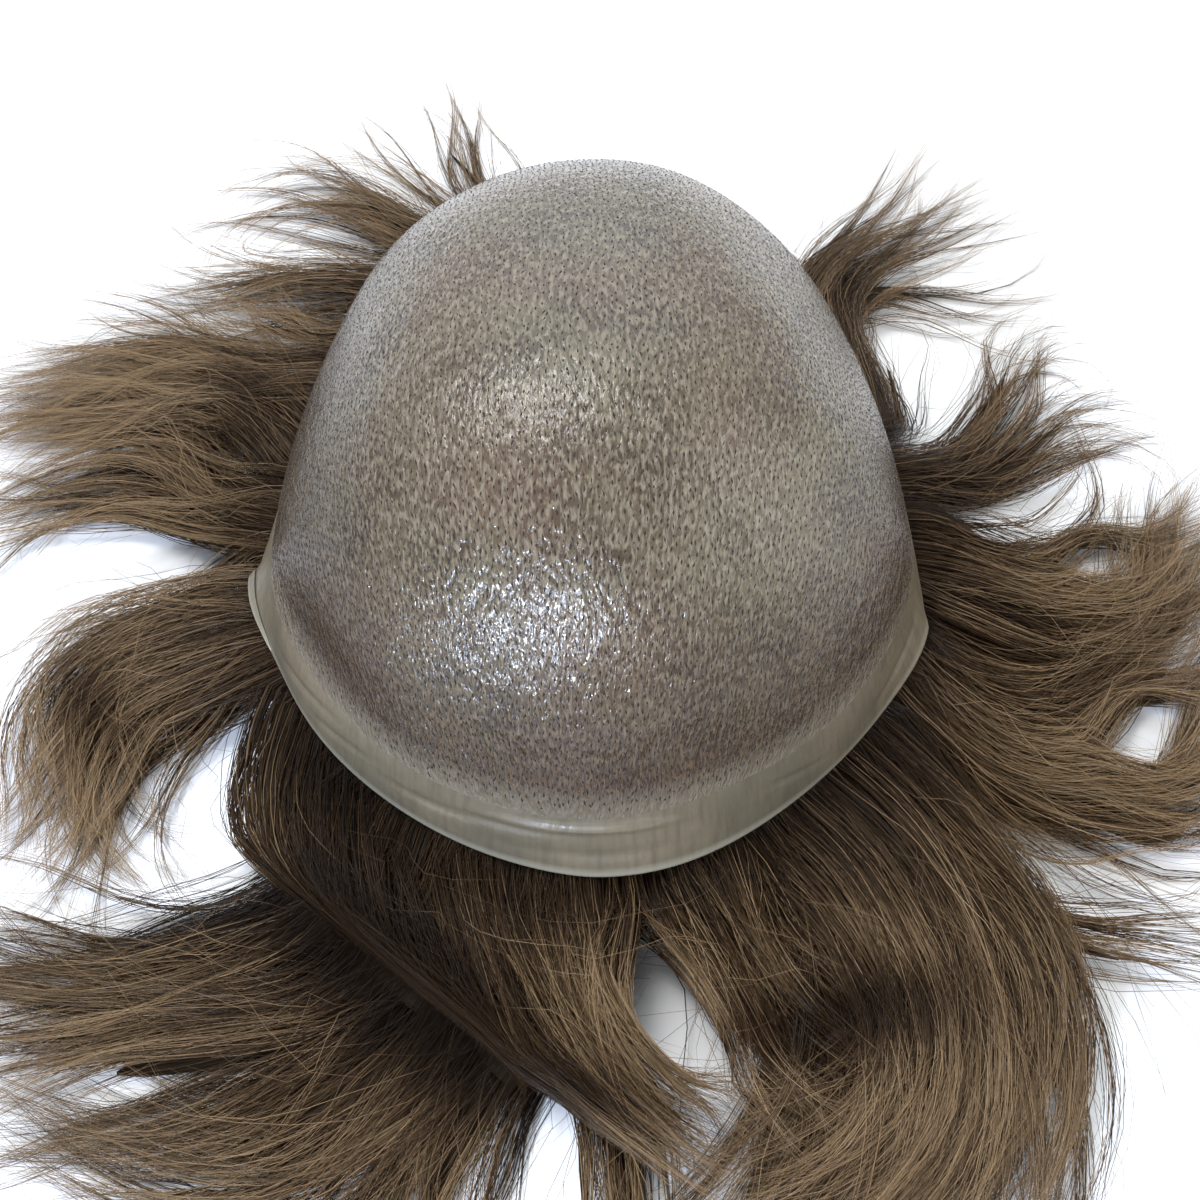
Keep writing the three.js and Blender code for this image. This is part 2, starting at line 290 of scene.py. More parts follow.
def stretched(tree, vector, x, y, z=1.0):
    wanted = {"Vector": vector, "Scale": (x, y, z)}
    return add_node(tree, "ShaderNodeMapping", wanted).outputs["Vector"]


def new_group(name, inputs, outputs):
    """A node group, with its input node and output node."""
    group = bpy.data.node_groups.new(name, "ShaderNodeTree")
    for socket, kind in inputs:
        group.interface.new_socket(socket, in_out="INPUT", socket_type="NodeSocket" + kind)
    for socket, kind in outputs:
        group.interface.new_socket(socket, in_out="OUTPUT", socket_type="NodeSocket" + kind)
    return group, group.nodes.new("NodeGroupInput"), group.nodes.new("NodeGroupOutput")


def use_group(tree, group, inputs):
    node = tree.nodes.new("ShaderNodeGroup")
    node.node_tree = group
    feed(tree, node, inputs)
    return node.outputs


def new_material(name, **constants):
    """A material with one Principled shader. The constants are set on the shader's own sockets."""
    material = bpy.data.materials.new(name)
    material.use_nodes = True
    shader = material.node_tree.nodes["Principled BSDF"]
    for key, value in constants.items():
        shader.inputs[key.replace("_", " ")].default_value = value
    return material, material.node_tree, shader


# %% [markdown]
# ## The film's pebbled skin
# Each hair is knotted through the film, and the tight knots pull it into tiny wrinkles that run from
# front to back. A photograph would catch them as an image. Here a noise texture, stretched along the
# rows, makes them at any distance. The film's UV map holds the way from the crown in tenths of a
# metre, so the wrinkles run over the dome as the rows of knots do. The band uses the same group with
# fainter values, because it is the same film without hair.

# %% Pebbled skin, as a group for the film and the band
UV_UNIT = 100.0  # millimetres to one unit of the UV map
wrinkle_across = 1.15  # wrinkles to a millimetre across the rows
wrinkle_along = 0.42  # and along them


def pebble_group():
    group, given, result = new_group(
        "pebbled_skin",
        [("Pattern", "Vector"), ("Wrinkle", "Float"), ("Pucker", "Float")],
        [("Height", "Float"), ("Grain", "Float"), ("Patch", "Float")],
    )
    pattern = add_node(
        group, "ShaderNodeVectorMath", {0: given.outputs["Pattern"], "Scale": UV_UNIT}, operation="SCALE"
    ).outputs[0]
    fine = stretched(group, pattern, wrinkle_across, wrinkle_along)
    grain = noise(group, fine, 1.0, 2.5, 0.55, distortion=0.4)
    pucker = noise(group, stretched(group, pattern, 0.32, 0.2), 1.0, 2.0, 0.5)
    patch = noise(group, pattern, 0.055, 3.0, 0.55)
    wrinkle = maths(group, "MULTIPLY", grain, given.outputs["Wrinkle"])
    height = maths(group, "ADD", wrinkle, maths(group, "MULTIPLY", pucker, given.outputs["Pucker"]))
    group.links.new(height, result.inputs["Height"])
    group.links.new(grain, result.inputs["Grain"])
    group.links.new(patch, result.inputs["Patch"])
    return group


pebbled_skin = pebble_group()
print("wrinkles about", round(1 / wrinkle_across, 1), "by", round(1 / wrinkle_along, 1), "mm")

# %% [markdown]
# ## The film's finish
# Thin cast film is glossy, but the wrinkles break its highlights into sparkles. Dark hair lies under
# it, which tints it brown, and thin places look olive or reddish. Low down and along the left it is
# darker still: that is painted shade, two tints worked out from the place on the dome.
# Where it is seen at a low angle it mirrors the white room and looks grey, and the shader's own
# Fresnel does that without further nodes.

# %% Film material
skin_pale = (0.235, 0.195, 0.138, 1)
skin_dark = (0.048, 0.034, 0.021, 1)
skin_red = (0.1, 0.062, 0.041, 1)
skin_olive = (0.1, 0.083, 0.05, 1)
low_painted_shade = (0.42, 0.31, 0.22, 1)  # painted shade that darkens the film low down
left_painted_shade = (0.55, 0.5, 0.43, 1)  # painted shade on the left of the dome
margin_tint = (0.15, 0.125, 0.088, 1)
band_tint = (0.19, 0.153, 0.1, 1)
shade_low, shade_high = 44.0, 80.0  # heights between which the painted shade low down fades out
left_shade_rise = (-74.0, -60.0)  # across the dome, where the painted shade on the left comes in
left_shade_fall = (-26.0, -54.0)  # and where it goes out
margin_fade = 7.0  # height over which the knots thin out above the band


def above_table(tree, low, high):
    """0 to 1 between two heights above the table, in millimetres, and the place itself."""
    place = add_node(tree, "ShaderNodeTexCoord").outputs["Object"]
    height = add_node(tree, "ShaderNodeSeparateXYZ", {0: place}).outputs[2]
    return ramp(tree, height, low * MM, high * MM), place


def film_finish():
    material, tree, shader = new_material("knotted_film", Roughness=0.2, Specular_IOR_Level=0.5, IOR=1.5)
    pattern = add_node(tree, "ShaderNodeUVMap", uv_map="pattern").outputs[0]
    skin = use_group(tree, pebbled_skin, {"Pattern": pattern, "Wrinkle": 1.0, "Pucker": 1.6})
    margin = rim_height + band_rise
    knotted, place = above_table(tree, margin, margin + margin_fade)
    colour = blend_colours(tree, ramp(tree, skin["Patch"], 0.38, 0.62), skin_dark, skin_olive)
    reds = noise(tree, place, 24.0, 2.0, 0.5)
    colour = blend_colours(tree, ramp(tree, reds, 0.46, 0.68, 0.0, 0.8), colour, skin_red)
    colour = blend_colours(tree, ramp(tree, skin["Grain"], 0.44, 0.64, 0.0, 0.8), colour, skin_pale)
    # painted shade: the film is darker low down, fading out between two heights
    shade_fades, _ = above_table(tree, shade_low, shade_high)
    shaded = blend_colours(tree, 1.0, colour, low_painted_shade, "MULTIPLY")
    colour = blend_colours(tree, shade_fades, shaded, colour)
    # painted shade along the left side of the dome
    across = add_node(tree, "ShaderNodeSeparateXYZ", {0: place}).outputs[0]
    comes, goes = [ramp(tree, across, low * MM, high * MM) for low, high in (left_shade_rise, left_shade_fall)]
    shaded = blend_colours(tree, 1.0, colour, left_painted_shade, "MULTIPLY")
    colour = blend_colours(tree, maths(tree, "MULTIPLY", comes, goes), colour, shaded)
    colour = blend_colours(tree, knotted, margin_tint, colour)
    tree.links.new(colour, shader.inputs["Base Color"])
    wrinkled = {"Strength": 1.0, "Distance": 0.00037, "Height": skin["Height"]}
    bump = add_node(tree, "ShaderNodeBump", wrinkled)
    tree.links.new(bump.outputs[0], shader.inputs["Normal"])
    tree.links.new(ramp(tree, skin["Grain"], 0.35, 0.65, 0.3, 0.1), shader.inputs["Roughness"])
    return material


film_material = film_finish()

# %% [markdown]
# ## The film
# One fine closed wall: rings of points from the crown down the outside, then back up the inside, and
# a small fan at each end. Because it is cut from the dome's formula it lies exactly where the solid
# film does. Two rings close to the lower edge keep the shading of the face straight up to it.

# %% Film mesh
around = 288
outer_rows = 100
inner_rows = 24
edge_ring = 0.06  # how near to an edge its second ring lies
first_ring = 0.8  # millimetres from the crown to the first ring
bearings = np.arange(around) * 360.0 / around


def film_mesh():
    edge, support = turn_at_rise(band_rise), turn_at_rise(band_rise + edge_ring)
    turns_out = np.concatenate([np.linspace(89.4, support, outer_rows), [edge]])
    turns_in = np.concatenate([[edge, support], np.linspace(support + 1, 89.4, inner_rows)])
    outside = np.stack([face_point(bearings, t) for t in turns_out])
    inside = []
    for turn in turns_in:
        inward = film_wall * face_normal(bearings, np.full(around, turn))
        inside.append(face_point(bearings, turn) - inward)
    top = face_point(0.0, 90.0)
    ends = [top, top - (0, 0, film_wall)]
    points = np.concatenate([outside.reshape(-1, 3), np.concatenate(inside), ends])
    rows = len(turns_out) + len(turns_in)
    step = np.linalg.norm(np.diff(outside, axis=0), axis=-1)
    far = np.concatenate([np.zeros((1, around)), np.cumsum(step, axis=0)]) + first_ring
    far_in = np.stack([np.interp(turns_in, turns_out[::-1], far[::-1, k]) for k in range(around)], 1)
    far = np.concatenate([far, far_in]).ravel() / UV_UNIT
    angle = np.radians(np.tile(bearings, rows))
    uvs = np.concatenate([np.stack([far * np.cos(angle), far * np.sin(angle)], 1), np.zeros((2, 2))])
    return points, list(tube_faces(rows, around)), uvs


film_points, film_faces, film_uvs = film_mesh()
film = make_piece("film", film_points, film_faces, film_material, film_uvs)
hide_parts("film_base")
print("film", triangles_of(film), "triangles")

# %% [markdown]
# ## The knots
# Knots are tied in rows from front to back, each row half a step ahead of the next, and the rows
# drift a little, as hand work does. Each knot shows as a dark dash half a millimetre wide, along its
# row. They could be painted by the shader, but as small diamonds of geometry they stay crisp up close
# and stand a little proud, as real knots do. They thin out unevenly towards the clear band.

# %% Knots
row_gap = 1.42  # between rows
knot_gap = 2.35  # along a row
knot_long = 1.45
knot_wide = 0.46
knot_tall = 0.11
row_drift = [(1.5, 0.05, 0.6), (0.5, 0.17, 2.1)]  # amount, pace and start of each slow wave


def knot_places():
    """The knots on the flat pattern: millimetres from the crown, across and along the rows."""
    reach = 190.0
    across, along = int(reach / row_gap), int(reach / knot_gap)
    i, j = np.meshgrid(np.arange(-across, across), np.arange(-along, along), indexing="ij")
    v = (j + 0.5 * (i % 2)) * knot_gap
    drift = sum(amount * np.sin(pace * v + start) for amount, pace, start in row_drift)
    u = i * row_gap + drift + rng.normal(0, 0.24, v.shape)
    v = v + rng.normal(0, 0.42, v.shape)
    near = np.hypot(u, v) < reach
    return u[near], v[near]


def on_film(u, v, turns, far):
    """Bearing and turn of points of the pattern, or a turn of -1 where they fall off the film."""
    bearing = np.degrees(np.arctan2(v, u)) % 360.0
    column = np.round(bearing).astype(int) % 360
    turn = np.full(u.shape, -1.0)
    for k in range(360):
        here = column == k
        turn[here] = np.interp(np.hypot(u, v)[here], far[k], turns, right=-1.0)
    return bearing, turn


def knot_mesh():
    turns = np.linspace(89.6, turn_at_rise(band_rise), 200)
    line = np.stack([face_point(np.arange(360.0), t) for t in turns])
    walk = np.linalg.norm(np.diff(line, axis=0), axis=-1)
    far = np.concatenate([np.zeros((1, 360)), np.cumsum(walk, axis=0)]).T
    u, v = knot_places()
    bearing, turn = on_film(u, v, turns, far)
    ahead_bearing, ahead_turn = on_film(u, v + 0.6, turns, far)
    margin = rng.gamma(1.4, 1.5, u.shape)
    rise = dome_height * np.sin(np.radians(np.clip(turn, 0, 90))) ** (2 / shoulder_power)
    kept = (turn > 0) & (ahead_turn > 0) & (rise > band_rise + 0.8 + margin)
    at = face_point(bearing[kept], turn[kept])
    out = face_normal(bearing[kept], turn[kept])
    along = face_point(ahead_bearing[kept], ahead_turn[kept]) - at
    along /= np.linalg.norm(along, axis=1, keepdims=True)
    side = np.cross(out, along)
    along = along + side * rng.normal(0, 0.2, (len(at), 1))
    length = along * knot_long * rng.uniform(0.5, 1.15, (len(at), 1)) / 2
    width = side * knot_wide * rng.uniform(0.6, 1.15, (len(at), 1)) / 2
    sunk = at - 0.01 * out
    corners = [sunk + length, sunk + width, sunk - length, sunk - width, at + out * knot_tall]
    points = np.stack(corners, 1).reshape(-1, 3)
    diamond = np.array([(0, 1, 4), (1, 2, 4), (2, 3, 4), (3, 0, 4), (1, 0, 3), (1, 3, 2)])
    return points, (np.arange(len(at))[:, None, None] * 5 + diamond[None]).reshape(-1, 3)


def knot_finish():
    material, tree, shader = new_material("knot", Roughness=0.6, Specular_IOR_Level=0.35)
    place = add_node(tree, "ShaderNodeTexCoord").outputs["Object"]
    tone = ramp(tree, noise(tree, place, 260.0, 2.0), 0.3, 0.7)
    colour = blend_colours(tree, tone, (0.01, 0.007, 0.005, 1), (0.035, 0.026, 0.018, 1))
    tree.links.new(colour, shader.inputs["Base Color"])
    return material


knot_points, knot_faces = knot_mesh()
knots = make_piece("knots", knot_points, knot_faces, knot_finish())
print(len(knot_points) // 5, "knots,", triangles_of(knots), "triangles")

# %% [markdown]
# ## The clear band
# Round the edge the film has no hair, so it can be trimmed and taped. It is smoother and slightly
# see-through, with a few long creases where it was handled. One corner is turned out, and its edge is
# folded back over itself, which shows as a thick pale strip. Cloth tools could fold a sheet, but a
# table of creases gives each one its place and depth directly.

# %% Band
creases = [  # bearing, rise, deep (mm), along (degrees), across (mm), slant (mm per degree)
    (-152, 9.5, 0.55, 9, 1.0, 0.28),
    (-140, 8.0, 0.5, 7, 0.9, 0.3),
    (-118, 9.0, 0.6, 9, 1.1, 0.1),
    (-104, 11.0, 0.5, 10, 0.9, 0.03),
    (-96, 13.0, -0.8, 9, 1.0, 0.05),
    (-84, 13.0, -0.7, 7, 0.9, -0.06),
    (-90, 6.0, 0.45, 14, 1.6, 0.02),
    (-52, 9.0, 0.45, 6, 0.9, -0.3),
    (-20, 7.0, 0.35, 9, 1.2, 0.1),
    (170, 12.0, 0.7, 9, 1.3, 0.3),
    (160, 8.0, 0.5, 9, 1.4, 0.0),
]
corners_out = [(178, 2.2, 2.5, 13), (-8, 1.6, 14, 3)]  # bearing, out (mm), back and front spread
fold_from, fold_to = 176.0, 193.0  # bearings of the folded strip
fold_wide = 3.2
fold_thick = 0.7
band_rows = 26


def band_relief(bearing, rise):
    relief = np.zeros_like(bearing)
    for at, height, deep, along, across, slant in creases:
        turned = between(bearing, at)
        relief -= deep * hump(turned, along) * hump(rise - height - slant * turned, across)
    for at, out, low, high in corners_out:
        turned = between(bearing, at)
        near = hump(turned, np.where(turned < 0, low, high))
        relief += out * near * np.clip(1 - rise / 11, 0, 1) ** 1.5
    return relief


def band_face(bearing, rise, out=0.0):
    """A point of the band's outer face. Creases fade out where the band meets the film."""
    turn = np.full_like(bearing, turn_at_rise(rise))
    soft = np.clip((band_rise - rise) / 2.5, 0, 1)
    lift = soft * band_relief(bearing, rise) + out
    return face_point(bearing, turn) + face_normal(bearing, turn) * lift[:, None]


def band_mesh():
    lower_rises = np.linspace(band_rise - 0.8, 0, band_rows)
    rises = np.concatenate([[band_rise, band_rise - edge_ring], lower_rises])
    none = np.zeros(around)
    outside = [band_face(bearings, rise, none) for rise in rises]
    inside = []
    for rise in rises:
        thick = film_wall + (band_wall - film_wall) * (1 - rise / band_rise)
        inside.append(band_face(bearings, rise, none - thick))
        inside[-1][:, 2] = np.maximum(inside[-1][:, 2], rim_height)
    rounded = 0.45 * outside[-1] + 0.55 * inside[-1] - np.array([0, 0, 0.35])
    rings = np.stack(outside + [rounded] + inside[::-1])
    faces = grid_faces(len(rings), around, closed_rows=True)
    edge = np.concatenate([rises, [-0.5], rises[::-1]])
    uvs = np.stack([np.tile(np.radians(bearings) * half_width, len(rings)), np.repeat(edge, around)], 1)
    return rings.reshape(-1, 3), faces, uvs / UV_UNIT


def fold_mesh():
    """The strip of the corner that is folded back: a flat tube laid on the band's face."""
    steps, sides = 40, 12
    along = np.linspace(0, 1, steps)
    angle = -np.arange(sides) * 2 * math.pi / sides
    at = fold_from + (fold_to - fold_from) * along
    taper = np.sqrt(np.clip(1 - (2 * along - 1) ** 6, 0.0, 1)) * (1 - 0.45 * along)
    rings = []
    for step in range(steps):
        rise = 0.3 + fold_wide * taper[step] * (0.5 + 0.5 * np.cos(angle))
        lift = fold_thick * (0.5 + 0.5 * np.sin(angle)) * taper[step]
        points = [band_face(at[step : step + 1], r, np.array([out])) for r, out in zip(rise, lift)]
        rings.append(np.concatenate(points))
    ends = [rings[0].mean(axis=0), rings[-1].mean(axis=0)]
    points = np.concatenate(rings + [ends])
    uvs = np.stack([np.repeat(np.radians(at) * half_width, sides), np.zeros(steps * sides)], 1)
    uvs = np.concatenate([uvs, uvs[:1], uvs[-1:]]) / UV_UNIT
    return points, list(tube_faces(steps, sides)), uvs


band_cloud = (0.13, 0.11, 0.075, 1)
hair_through = (0.07, 0.053, 0.036, 1)  # the shade of hair seen through the band
edge_tint = (0.52, 0.49, 0.38, 1)


def film_edge_finish(name, pale, **constants):
    """The band's finish. pale is the share of the pale tint at its lower edge."""
    material, tree, shader = new_material(
        name, Roughness=0.36, Coat_Weight=0.3, Coat_Roughness=0.16, Specular_IOR_Level=0.45, **constants
    )
    pattern = add_node(tree, "ShaderNodeUVMap", uv_map="pattern").outputs[0]
    skin = use_group(tree, pebbled_skin, {"Pattern": pattern, "Wrinkle": 0.5, "Pucker": 1.2})
    edge, place = above_table(tree, rim_height + 0.2, rim_height + 2.6)
    cloud = ramp(tree, noise(tree, place, 34.0, 3.0), 0.35, 0.65)
    colour = blend_colours(tree, cloud, band_cloud, band_tint)
    through = noise(tree, stretched(tree, pattern, 70.0, 9.0), 1.0, 3.0)
    colour = blend_colours(tree, ramp(tree, through, 0.45, 0.75, 0.0, 0.45), colour, hair_through)
    colour = blend_colours(tree, ramp(tree, edge, 0.0, 1.0, pale, 0.0), colour, edge_tint)
    tree.links.new(colour, shader.inputs["Base Color"])
    wrinkled = {"Strength": 0.7, "Distance": 0.00025, "Height": skin["Height"]}
    bump = add_node(tree, "ShaderNodeBump", wrinkled)
    tree.links.new(bump.outputs[0], shader.inputs["Normal"])
    return material


band_points, band_faces, band_uvs = band_mesh()
band_material = film_edge_finish("clear_band", 0.5, Alpha=0.9)
band = make_piece("band", band_points, band_faces, band_material, band_uvs)
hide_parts("edge_band")
fold_points, fold_faces, fold_uvs = fold_mesh()
fold_material = film_edge_finish("folded_band", 1.0)
fold = make_piece("folded_corner", fold_points, fold_faces, fold_material, fold_uvs)
print("band", triangles_of(band), "triangles, folded corner", triangles_of(fold))

# %% [markdown]
# ## The locks that the hair follows
# Combed hair reads as locks: hairs that leave the rim together and bend together. Each row says
# where a lock passes under the rim, where it heads and how it turns over each third of its length.
# Blender has a hair system with guide curves, but its curves can't be kept as a plain mesh of a known
# size, so the hairs are worked out here and joined into one mesh for each zone.

# %% Table of locks
NUMBERS = ("bearing", "heads", "near", "mid", "tip", "long", "wide", "tall", "rides")
LOCK_COLUMNS = ("zone", *NUMBERS, "reach")
# bearing: where the lock passes the rim. heads: its heading there. near, mid, tip: its turn over each
# third, all in degrees. long, wide, tall: shares of hair_length, lock_width and lock_height.
# rides: how high it lies on other hair, as a share of rim_height. reach: how far its hairs spread
# towards the next row's lock, in lock widths, or 0 where the two locks are one combed sheet.
LOCK_ROWS = [
    ("front_under", -130, -100, -72, -10, 8, 1.06, 0.8, 0.8, 0, 0),
    ("front_under", -118, -98, -62, -8, 2, 1.08, 1, 0.8, 0, 0),
    ("front_under", -106, -94, -44, -46, -4, 1.08, 1.1, 0.8, 0, 0.5),
    ("front_under", -106, -78, -26, -4, -10, 0.9, 0.9, 0.8, 0, 0.4),
    ("front_under", -91, -86, 2, 10, 2, 0.84, 0.6, 0.8, 0, 0.3),
    ("front_under", -64, -60, -14, -56, -26, 0.98, 0.8, 0.8, 0, 0),
    ("front_under", -50, -54, -12, -60, -30, 0.94, 1.1, 0.85, 0, 0),
    ("front_under", -32, -56, -8, -36, -50, 1.02, 0.9, 0.85, 0, 0.5),
    ("front_over", -159, -104, 22, 28, 12, 0.8, 0.5, 1, 0.12, 0),
    ("front_over", -149, -98, 20, 28, 16, 0.86, 0.9, 1, 0.2, 0),
    ("front_over", -135, -88, 14, 26, 24, 0.84, 1, 1, 0.28, 0),
    ("front_over", -118, -84, 14, 25, 27, 0.75, 1, 1, 0.28, 0),
    ("front_over", -102, -88, 18, 22, 34, 0.67, 1, 1, 0.25, 0),
    ("front_over", -93, -87, 16, 18, 30, 0.57, 0.7, 1, 0.25, 0.1),
    ("front_over", -86, -82, 12, 14, 26, 0.51, 0.7, 1, 0.2, 0),
    ("front_over", -74, -82, 14, 22, 30, 0.54, 0.9, 1, 0.15, 0),
    ("front_over", -62, -78, 16, 26, 34, 0.54, 0.9, 1, 0.12, 0.5),
    ("front_over", -52, -48, -18, -70, -28, 1.0, 0.9, 1, 0.3, 0),
    ("front_over", -42, -50, -14, -64, -32, 1.02, 1, 1, 0.25, 0),
    ("front_over", -34, -52, -8, -38, -52, 1.04, 0.7, 1, 0.15, 0.5),
    ("front_over", -29, -64, 14, 44, 8, 0.92, 0.35, 0.5, 0.2, 0.5),
    ("left", -177, -188, 34, 70, -22, 0.78, 1, 1, 0.1, 0),
    ("left", -173, -165, 14, 44, -18, 0.75, 0.9, 1, 0, 0.5),
    ("left", -171, -162, 8, 84, 34, 0.72, 0.4, 0.6, 0, 0.5),
    ("left", 168, -184, 24, 10, 0, 0.6, 0.2, 0.35, 0, 0.5),
    ("left", 164, 160, -2, 20, 16, 0.84, 0.5, 0.7, 0, 0.4),
    ("left", 157, 160, -16, 38, 26, 0.86, 0.7, 0.8, 0, 0.35),
    ("left", 147, 128, 8, 58, 12, 0.9, 0.8, 0.9, 0.15, 0.4),
    ("left", 137, 168, 2, 16, 14, 0.92, 1, 1, 0, 0),
    ("left", 127, 168, 0, 12, 14, 0.92, 1, 0.9, 0, 0.5),
    ("left", 120, 172, -4, -24, -34, 0.56, 0.35, 0.5, 0.25, 0.5),
    ("right", 39, 94, 2, -58, 2, 1.22, 0.6, 1, 0, 0.4),
    ("right", 36, 30, 56, 16, 10, 0.6, 0.15, 0.35, 0, 0.5),
    ("right", 41, 92, 0, -118, 70, 1.02, 0.15, 0.35, 0, 0.5),
    ("right", 30, 10, 50, 4, -104, 0.85, 0.35, 0.5, 0, 0.5),
    ("right", 27, 14, 22, -4, -50, 0.8, 0.3, 0.45, 0, 0.5),
    ("right", 20, 8, -34, 52, 14, 0.85, 0.7, 0.8, 0, 0),
    ("right", 7, -16, 14, 58, -4, 0.92, 1, 1, 0.1, 0),
    ("right", -7, -56, 58, 60, 4, 0.96, 1, 1, 0, 0),
    ("right", -14, -62, 44, 50, 34, 0.92, 1, 1, 0, 0),
    ("right", -21, -64, 54, 14, 4, 0.86, 0.7, 0.8, 0, 0.5),
    ("back", 111, 152, 8, 44, -50, 0.84, 0.55, 0.7, 0.1, 0.4),
    ("back", 104, 120, 18, 42, 54, 0.95, 0.5, 0.8, 0, 0.5),
    ("back", 94, 114, 10, -4, -14, 0.95, 0.2, 0.35, 0, 0.5),
    ("back", 88, 104, 40, 50, 50, 0.45, 0.7, 0.8, 0, 0),
    ("back", 76, 84, 30, 40, 40, 0.42, 0.7, 0.8, 0, 0.5),
    ("back", 65, 66, 20, 40, 30, 0.36, 0.7, 0.8, 0, 0.5),
]
locks = [dict(zip(LOCK_COLUMNS, row)) for row in LOCK_ROWS]
profile_along = [0, 0.15, 0.34, 0.53, 0.71, 0.87, 1]
profile_width = [0.9, 1, 1, 0.93, 0.78, 0.52, 0.16]
profile_height = [1, 0.96, 0.86, 0.72, 0.54, 0.36, 0.16]
print(len(locks), "locks")

# %% [markdown]
# ## Wisps
# Inside a lock, hairs cling together in wisps of a few dozen. Each wisp has its own slight heading,
# wave and length, and the wisps drift apart towards their tips, which is why the table shows between
# them. So a lock is filled with wisps first. Where two locks are one sheet, a wisp between them takes
# a share of both rows of the table.

# %% Routes of the wisps
segments = 12
share = np.linspace(0, 1, segments + 1)
wisp_gap = 2.1  # millimetres across the lock to one wisp
wisp_layers = 2.2  # wisps above each other in a lock
loose = np.array([2.5, 4.5, 7.0, 14.0])  # degrees that wisps differ in heads, near, mid and tip
rebel_share = 0.18  # wisps that differ more
rebel_factor = 2.6
zone_wave = {"front_over": 1.0, "front_under": 1.8, "left": 1.9, "right": 1.5, "back": 2.0}
zone_loose = {"front_over": 0.65, "front_under": 0.8, "left": 1.1, "right": 1.1, "back": 1.5}
rim_reach = 0.5  # spread of a lock's hairs at the rim, in lock widths
over_lift = 4.5  # millimetres that the upper front layer lies above the lower one


def lock_values(index):
    return np.array([float(locks[index][key]) for key in NUMBERS])


def neighbour(index, side):
    """The next lock of the sheet on that side, or this one itself at the sheet's edge."""
    other = index + side
    if not 0 <= other < len(locks) or locks[other]["zone"] != locks[index]["zone"]:
        return index
    return index if locks[min(index, other)]["reach"] else other


def edge_reach(index, side):
    """How far a lock's hairs spread on a side that has no neighbour, in lock widths."""
    if side > 0:
        return locks[index]["reach"] or rim_reach
    same = index > 0 and locks[index - 1]["zone"] == locks[index]["zone"]
    return (locks[index - 1]["reach"] if same else 0) or rim_reach


def smooth(value):
    value = np.clip(value, 0, 1)
    return value * value * (3 - 2 * value)


def mixed(index, place):
    """Numbers of wisps at places across the lock, from -0.5 to 0.5, and their sideways offsets."""
    own = lock_values(index)
    values = np.repeat(own[None], len(place), axis=0)
    offset = np.zeros((len(place), segments + 1))
    clear = smooth(share / 0.4)  # 0 at the rim, 1 where the lock lies on the table
    for side in (-1, 1):
        here = place * side > 0
        other = neighbour(index, side)
        if other != index:
            part = np.abs(place[here])[:, None]
            values[here] = own * (1 - part) + lock_values(other) * part
        else:
            spread = rim_reach * (1 - clear) + edge_reach(index, side) * clear
            offset[here] = 2 * place[here][:, None] * spread * lock_width * own[6]
    return values, offset


def plan_routes(values, wave, phase, pace):
    """Plan points and headings of routes. values has one row of NUMBERS for each."""
    bearing, heads, near, mid, tip, long = values[:, :6].T

    def heading(at):
        turned = near[:, None] * np.clip(3 * at, 0, 1) + mid[:, None] * np.clip(3 * at - 1, 0, 1)
        turned = turned + tip[:, None] * np.clip(3 * at - 2, 0, 1)
        swing = wave[:, None] * np.sin(phase[:, None] + pace[:, None] * at) * np.clip(3 * at, 0, 1)
        return np.radians(heads[:, None] + turned + swing)

    step = (long * hair_length / segments)[:, None]
    angle = heading((share[1:] + share[:-1])[None] / 2)
    zero = np.zeros((len(values), 1))
    x = np.concatenate([zero, np.cumsum(np.cos(angle) * step, axis=1)], 1)
    y = np.concatenate([zero, np.cumsum(np.sin(angle) * step, axis=1)], 1)
    round_ = np.radians(bearing)
    start = rim_radius(bearing)[:, None] * np.stack([np.cos(round_), np.sin(round_)], 1)
    return np.stack([x, y], -1) + start[:, None], heading(share[None])


def wisp_count(wide):
    """Wisps of a lock that is wide times lock_width, with a few more for thin locks."""
    return 4 + int(lock_width * (0.2 + wide) * wisp_layers / wisp_gap)


def wisps_of_lock(index):
    """A lock's wisps: their points, side directions, levels in the lock and tones."""
    lock = locks[index]
    count = wisp_count(lock["wide"])
    place = (np.arange(count) + rng.uniform(0.1, 0.9, count)) / count - 0.5
    values, offset = mixed(index, place)
    rebel = np.where(rng.random(count) < rebel_share, rebel_factor, 1.0)[:, None]
    values[:, 1:5] += rng.normal(0, 1, (count, 4)) * loose * zone_loose[lock["zone"]] * rebel
    values[:, 5] *= rng.uniform(0.8, 1.04, count)
    # neighbouring wisps wave together, because the wave's start follows their place on the rim
    start = 0.06 * values[:, 0] + rng.normal(0, 0.5, count) + 2.0 * np.sin(index * 2.4)
    wave = zone_wave[lock["zone"]] * rng.uniform(5, 11, count)
    plan, heading = plan_routes(values, wave, start, rng.uniform(6.5, 9, count))
    side = np.stack([-np.sin(heading), np.cos(heading)], -1)
    plan = plan + side * (offset * np.interp(share, profile_along, profile_width))[..., None]
    level = rng.permutation((np.arange(count) + 0.5) / count)
    tall = np.interp(share, profile_along, profile_height) * lock_height * values[:, 7:8]
    base = values[:, 8:9] * rim_height * (1 - 0.35 * share) + 0.3
    if lock["zone"] == "front_over":
        base = base + over_lift * (1 - 0.6 * share)
    if lock["zone"] == "front_under":
        tall = tall * 0.7
    at_rim = rim_height - clearance - 0.5 - tall * (1 - level[:, None])
    resting = base + tall * level[:, None] * 0.95
    fall = smooth(share / 0.34)
    height = at_rim * (1 - fall) + resting * fall
    return np.concatenate([plan, height[..., None]], -1), side, level, rng.uniform(0, 1, count)


print(wisp_count(1.0), "wisps in a full lock")
